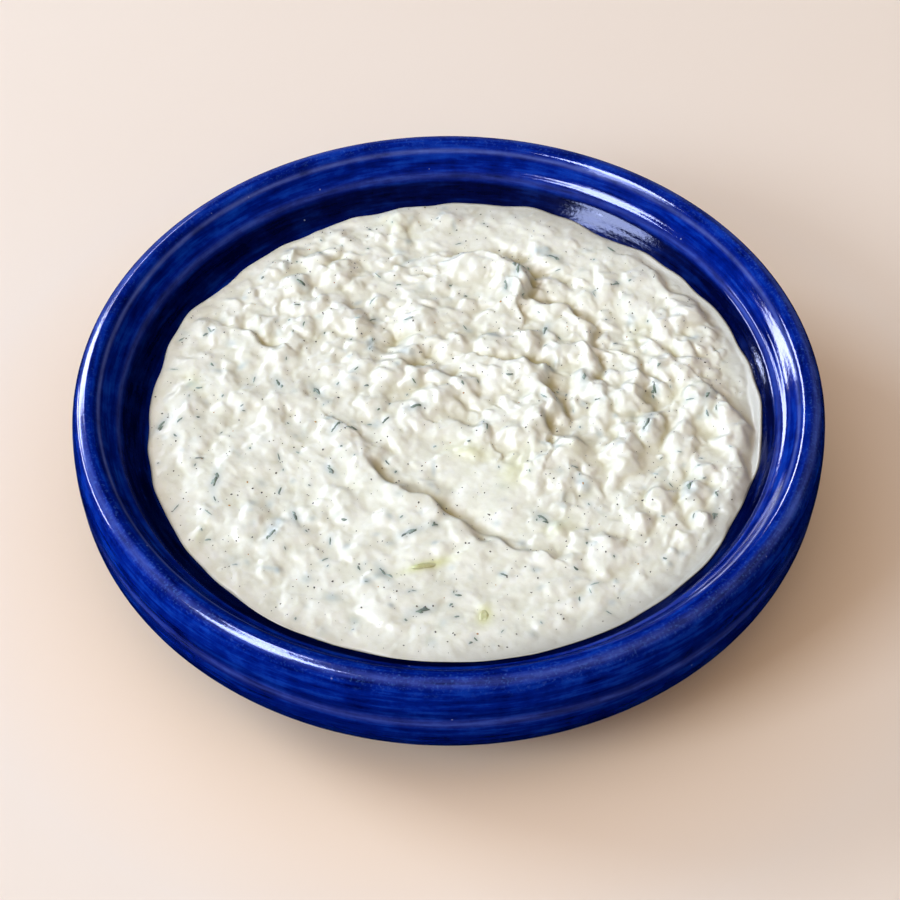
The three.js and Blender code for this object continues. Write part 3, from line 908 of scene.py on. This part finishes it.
def hollow_shade_shares(mesh):
    """Share of painted shade in the creases: how far each vertex lies below the smoothed surface round it,
    from 0 to 1.
    """
    heights = get_places(mesh)[:, 2]
    ends = np.zeros(len(mesh.edges) * 2, np.int32)
    mesh.edges.foreach_get("vertices", ends)
    first, second = ends.reshape(-1, 2).T
    count = np.bincount(ends, minlength=len(heights))
    smoothed = heights
    for _ in range(HOLLOW_SHADE_ROUNDS):
        around = np.bincount(first, smoothed[second], len(heights))
        around += np.bincount(second, smoothed[first], len(heights))
        smoothed = 0.5 * (smoothed + around / count)
    return fade(smoothed - heights, 0, HOLLOW_SHADE_DEPTH)


def hexagon_shares(places):
    """Share of the way to the edge and angle, from a six-sided disc of equal triangles."""
    corner = (np.arctan2(places[:, 1], places[:, 0]) - SIXTH_TURN / 2) % FULL_TURN
    sector = np.floor(corner / SIXTH_TURN + CORNER_SLACK)
    low = sector * SIXTH_TURN + SIXTH_TURN / 2
    high = low + SIXTH_TURN
    across = np.sin(high - low)
    a = (places[:, 0] * np.sin(high) - places[:, 1] * np.cos(high)) / across / DIP_RADIUS
    b = (places[:, 1] * np.cos(low) - places[:, 0] * np.sin(low)) / across / DIP_RADIUS
    share = np.clip(a + b, 0, 1)
    turned = low + SIXTH_TURN * np.divide(b, share, out=np.zeros_like(b), where=share > TINY)
    return share, turned


class DIPBOWL_OT_dip(bpy.types.Operator):
    """Fill the bowl with the stirred dip"""

    bl_idname = "dip_bowl.dip"
    bl_label = "Dip"

    def execute(self, context):
        settings = context.scene.dip_bowl.dip
        bpy.ops.mesh.primitive_circle_add(vertices=6, radius=DIP_RADIUS * MM, fill_type="TRIFAN")
        piece = start_piece("stirred_dip")
        bpy.ops.mesh.subdivide(number_cuts=FIRST_CUTS)
        bpy.ops.mesh.subdivide(number_cuts=SECOND_CUTS)
        bpy.ops.object.mode_set(mode="OBJECT")
        share, angle = hexagon_shares(get_places(piece.data))
        x, y = dip_place(share, angle)
        set_places(piece.data, np.stack((x, y, dip_top(share, angle, settings)), 1))
        bpy.ops.object.mode_set(mode="EDIT")
        bpy.ops.mesh.select_all(action="DESELECT")
        bpy.ops.mesh.select_mode(type="EDGE")
        bpy.ops.mesh.select_non_manifold()
        for floor_share in FLOOR_SHARES:
            extrude(0, 0, -MM)
            bpy.ops.object.mode_set(mode="OBJECT")
            places = get_places(piece.data)
            ring = np.array([v.index for v in piece.data.vertices if v.select])
            turned = np.arctan2(places[ring, 1], places[ring, 0] - DIP_CENTRE_X)
            x, y = dip_place(floor_share, turned)
            places[ring] = np.stack((x, y, inside_height(np.hypot(x, y)) + WALL_GAP), 1)
            set_places(piece.data, places)
            bpy.ops.object.mode_set(mode="EDIT")
        extrude(0, 0, 0)
        bpy.ops.mesh.merge(type="CENTER")
        bpy.ops.mesh.select_mode(type="VERT")
        close_piece()
        self.colour_zones(piece.data, context.scene.dip_bowl.flecks)
        carry(piece, strained_yogurt(settings), "dip", "dip")
        return {"FINISHED"}

    def colour_zones(self, mesh, flecks):
        """Marks the painted shade in the hollows, the stains, and the painted shade on the thin edge at the
        right.
        """
        places = get_places(mesh)
        herbs = [halo(row, LARGE_HALO) for row in DILL]
        herbs += [halo(row[:5], SMALL_HALO) for row in fine_dill(flecks.dill_count, SMALL_DILL)]
        herbs += fine_dill(flecks.sunken_count, SUNKEN_DILL)
        out = np.hypot(places[:, 0] - DIP_CENTRE_X, places[:, 1]) / DIP_RADIUS
        # Painted shade, darkest in the deepest creases between the lumps.
        paint(mesh, "hollow", hollow_shade_shares(mesh))
        paint(mesh, "herb_stain", stain(places, herbs))
        paint(mesh, "cucumber_stain", stain(places, [(*row[:5], 1 - row[5] ** 2) for row in CUCUMBER]))
        # Painted shade: only on the right side, which faces away from the light.
        paint(mesh, "shaded_thin_edge", fade(out, THIN_SHADE_FROM, 1) * logistic(places[:, 0] / THIN_SHADE_FADE))


def take_shape(piece):
    """Vertices and faces of a modelled shape, which is then put away."""
    close_piece()
    places = get_places(piece.data) * MM
    faces = [tuple(face.vertices) for face in piece.data.polygons]
    bpy.data.objects.remove(piece)
    return places, faces


def model_sliver(seed):
    """One dill sliver, one unit long, wide and thick, tapered, bowed and torn."""
    bpy.ops.mesh.primitive_circle_add(
        vertices=6, radius=0.18, fill_type="NGON", location=(-0.5, 0, 0), rotation=(0, math.pi / 2, 0))
    bpy.ops.object.transform_apply(location=True, rotation=True, scale=True)
    piece = start_piece("sliver")
    for widen, aside in SLIVER_STEPS:
        extrude(SLIVER_STEP, aside, 0)
        bpy.ops.transform.resize(value=(1, widen, widen))
    bpy.ops.mesh.select_all(action="SELECT")
    bpy.ops.transform.vertex_random(offset=0.13, seed=seed, normal=0.2)
    return take_shape(piece)


def model_grain(seed):
    """One broken grain, one unit across."""
    bpy.ops.mesh.primitive_ico_sphere_add(subdivisions=2, radius=0.5)
    piece = start_piece("grain")
    bpy.ops.transform.vertex_random(offset=0.16, seed=seed, normal=0.4)
    bpy.ops.transform.resize(value=(1, 0.8, 0.65))
    return take_shape(piece)


def model_shred(seed):
    """One torn cucumber shred, one unit long, wide and thick."""
    bpy.ops.mesh.primitive_cube_add(size=0.8)
    piece = start_piece("shred")
    bpy.ops.mesh.subdivide(number_cuts=1, smoothness=0.6)
    bpy.ops.transform.vertex_random(offset=0.22, seed=seed, normal=0.3)
    bpy.ops.mesh.subdivide(number_cuts=3, smoothness=1)
    bpy.ops.mesh.vertices_smooth(factor=0.5, repeat=2)
    return take_shape(piece)


def lay_on_dip(name, shapes, rows, material):
    """Lays copies of the shapes on the dip as one piece.

    Rows hold the shape's index, x, y, turn, length, width, thickness, lift as a share of the
    thickness, and film of yogurt.
    """
    dip = bpy.data.objects["stirred_dip"]
    vertices = []
    faces = []
    films = []
    for shape, x, y, turn, length, width, thick, lift, film in rows:
        above = Vector((x * MM, y * MM, 2 * BOWL_HEIGHT * MM))
        found, spot, up, _ = dip.ray_cast(above, Vector((0, 0, -1)))
        if not found:
            raise RuntimeError(f"{name}: nothing lies below {x:.1f}, {y:.1f}")
        ahead = Vector((math.cos(math.radians(turn)), math.sin(math.radians(turn)), 0))
        ahead = (ahead - up * ahead.dot(up)).normalized()
        axes = np.array([ahead * length, up.cross(ahead) * width, up * thick])
        points, sides = shapes[shape]
        placed = points @ axes * MM + np.array(spot) + np.array(up) * thick * lift * MM
        faces.extend(tuple(i + len(films) for i in face) for face in sides)
        vertices.append(placed)
        films.extend([film] * len(placed))
    mesh = bpy.data.meshes.new(name)
    mesh.from_pydata(np.vstack(vertices).tolist(), [], faces)
    paint(mesh, "film", films)
    piece = bpy.data.objects.new(name, mesh)
    bpy.context.scene.collection.objects.link(piece)
    carry(piece, material, "dip")


class DIPBOWL_OT_cucumber(bpy.types.Operator):
    """Lay the cucumber shreds that show"""

    bl_idname = "dip_bowl.cucumber"
    bl_label = "Cucumber"

    def execute(self, context):
        shapes = [model_shred(seed) for seed in SHRED_SEEDS]
        rows = [(i % len(shapes), x, y, turn, length, width, SHRED_THICK * width, SHRED_LIFT, film)
                for i, (x, y, turn, length, width, film) in enumerate(CUCUMBER) if film < FULL_FILM]
        lay_on_dip("cucumber_shreds", shapes, rows, grated_cucumber(context.scene.dip_bowl.flecks))
        return {"FINISHED"}


class DIPBOWL_OT_dill(bpy.types.Operator):
    """Lay the chopped dill"""

    bl_idname = "dip_bowl.dill"
    bl_label = "Dill"

    def execute(self, context):
        settings = context.scene.dip_bowl.flecks
        shapes = [model_sliver(seed) for seed in SLIVER_SEEDS]
        draws = Draws(SMALL_DILL[0])
        rows = []
        for x, y, turn, length, width in DILL:
            shape = pick(draws.share(), shapes)
            film = draws.between(*SLIVER_FILM)
            rows.append((shape, x, y, turn, SLIVER_LENGTH * length, width, SLIVER_THICK, SLIVER_LIFT, film))
            for _ in range(SHARD_COUNT):
                angle = math.radians(turn + draws.between(-SHARD_ASIDE, SHARD_ASIDE))
                away = draws.between(-SHARD_AWAY, SHARD_AWAY) * length
                shape = pick(draws.share(), shapes)
                shard_turn = turn + draws.between(-SHARD_TURN, SHARD_TURN)
                long = draws.between(*SHARD_LENGTH) * length
                wide = draws.between(*SHARD_WIDTH) * width
                film = draws.between(*SHARD_FILM)
                rows.append((shape, x + away * math.cos(angle), y + away * math.sin(angle), shard_turn,
                             long, wide, SHARD_THICK, SHARD_LIFT, film))
        for x, y, turn, length, width, film in fine_dill(settings.dill_count, SMALL_DILL):
            shape = pick(draws.share(), shapes)
            rows.append((shape, x, y, turn, length, width, SHARD_THICK, SHARD_LIFT, film))
        lay_on_dip("chopped_dill", shapes, rows, chopped_dill(settings))
        return {"FINISHED"}


class DIPBOWL_OT_pepper(bpy.types.Operator):
    """Sprinkle the ground pepper and spice"""

    bl_idname = "dip_bowl.pepper"
    bl_label = "Pepper and spice"

    def execute(self, context):
        settings = context.scene.dip_bowl.flecks
        shapes = [model_grain(seed) for seed in GRAIN_SEEDS]
        pepper = ground_pepper("black_pepper_ground", settings.pepper, settings.pepper_pale)
        spice = ground_pepper("spice_husk_ground", settings.spice, settings.spice_pale)
        for name, count, sizes, material in (
            ("pepper_grains", settings.pepper_count, PEPPER_SIZE, pepper),
            ("spice_grains", settings.spice_count, SPICE_SIZE, spice),
        ):
            rows = []
            for x, y, turn, a, b, c in sprinkle(PEPPER_SEED + count, count, PEPPER_REACH):
                size = span(sizes, a ** 3)
                rows.append((pick(b, shapes), x, y, turn, size, GRAIN_WIDTH * size, GRAIN_THICK * size,
                             span(GRAIN_LIFT, c), 0))
            lay_on_dip(name, shapes, rows, material)
        return {"FINISHED"}


def add_area_light(name, power, colour, way, size):
    """A soft rectangular light that looks at the dip."""
    light = bpy.data.lights.new(name, "AREA")
    light.shape = "RECTANGLE"
    light.size, light.size_y = size
    light.energy = power
    light.color = colour[:3]
    lamp = bpy.data.objects.new(name, light)
    bpy.context.scene.collection.objects.link(lamp)
    azimuth, elevation = (math.radians(angle) for angle in way)
    level = math.cos(elevation)
    away = Vector((math.cos(azimuth) * level, math.sin(azimuth) * level, math.sin(elevation)))
    lamp.location = LIGHT_AIM + away * LIGHT_DISTANCE
    lamp.rotation_euler = (-away).to_track_quat("-Z", "Y").to_euler()
    return lamp


class DIPBOWL_OT_stage(bpy.types.Operator):
    """Set the floor, the light and the camera"""

    bl_idname = "dip_bowl.stage"
    bl_label = "Stage"

    def execute(self, context):
        settings = context.scene.dip_bowl.stage
        scene = context.scene
        bpy.ops.mesh.primitive_plane_add(size=FLOOR_SIZE)
        floor = context.active_object
        floor.name = "floor"
        floor.data.materials.append(painted_board(settings))
        floor.visible_glossy = False
        self.light(scene, settings)
        camera = bpy.data.objects.new("camera", bpy.data.cameras.new("camera"))
        scene.collection.objects.link(camera)
        back = settings.distance * math.cos(settings.elevation)
        above = settings.distance * math.sin(settings.elevation)
        camera.location = (0, -back, BOWL_HEIGHT * MM + above)
        pitch = math.radians(90 - LOOK_DOWN) - settings.elevation
        camera.rotation_euler = (pitch, 0, math.radians(LOOK_ASIDE))
        camera.data.lens = settings.lens
        camera.data.sensor_width = SENSOR_WIDTH
        camera.data.clip_start = CLIP_START
        scene.camera = camera
        return {"FINISHED"}

    def light(self, scene, settings):
        """Two windows, the panes of the highlights and a soft light from overhead."""
        for name, power, way in (
            ("key_light", settings.key_power, KEY_WAY), ("window_light", settings.window_power, WINDOW_WAY),
        ):
            lamp = add_area_light(name, power, settings.daylight, way, WINDOW_SIZE)
            lamp.visible_glossy = False
        for name, share, way, size in PANES:
            lamp = add_area_light(name, settings.glint_power * share, settings.glint_colour, way, size)
            lamp.visible_diffuse = False
        world = bpy.data.worlds.new("studio")
        world.use_nodes = True
        sky = world.node_tree
        add = partial(add_node, sky)
        ahead = add("TexCoord")["Generated"]
        height = add("VectorMath", (ahead, SKY_WAY), operation="DOT_PRODUCT")["Value"]
        glow = add("ValToRGB", (height,), stops=((SKY_FADE[0], BLACK), (SKY_FADE[1], settings.fill_colour)))
        mirrored = add("LightPath")["Is Glossy Ray"]
        dimmed = add("MapRange", {0: mirrored, 3: settings.fill, 4: SKY_GLOSS * settings.fill})
        background = sky.nodes["Background"]
        sky.links.new(glow[0], background.inputs["Color"])
        sky.links.new(dimmed[0], background.inputs["Strength"])
        scene.world = world
        scene.view_settings.view_transform = "Standard"


class DIPBOWL_PT_panel(bpy.types.Panel):
    """Lists the pieces of the bowl of dip"""

    bl_idname = "DIPBOWL_PT_panel"
    bl_label = "Bowl of dip"
    bl_space_type = "VIEW_3D"
    bl_region_type = "UI"
    bl_category = "Dip bowl"

    def draw(self, context):
        for operator in OPERATORS:
            self.layout.operator(operator.bl_idname)
        for group in ("bowl", "dip", "flecks", "stage"):
            settings = getattr(context.scene.dip_bowl, group)
            box = self.layout.box()
            for name in settings.__annotations__:
                box.prop(settings, name)


OPERATORS = (
    DIPBOWL_OT_bowl, DIPBOWL_OT_dip, DIPBOWL_OT_cucumber, DIPBOWL_OT_dill, DIPBOWL_OT_pepper,
    DIPBOWL_OT_stage,
)
SETTINGS = (BowlSettings, DipSettings, FleckSettings, StageSettings, DipBowlSettings)
CLASSES = (*SETTINGS, *OPERATORS, DIPBOWL_PT_panel)


def register():
    """Adds the classes and the scene's settings."""
    for entry in CLASSES:
        bpy.utils.register_class(entry)
    bpy.types.Scene.dip_bowl = bpy.props.PointerProperty(type=DipBowlSettings)


def unregister():
    """Takes the classes and the settings away again."""
    del bpy.types.Scene.dip_bowl
    for entry in reversed(CLASSES):
        bpy.utils.unregister_class(entry)


def main():
    """Makes every piece."""
    register()
    bpy.ops.dip_bowl.bowl()
    bpy.ops.dip_bowl.dip()
    bpy.ops.dip_bowl.cucumber()
    bpy.ops.dip_bowl.dill()
    bpy.ops.dip_bowl.pepper()
    bpy.ops.dip_bowl.stage()


if __name__ == "__main__":
    main()
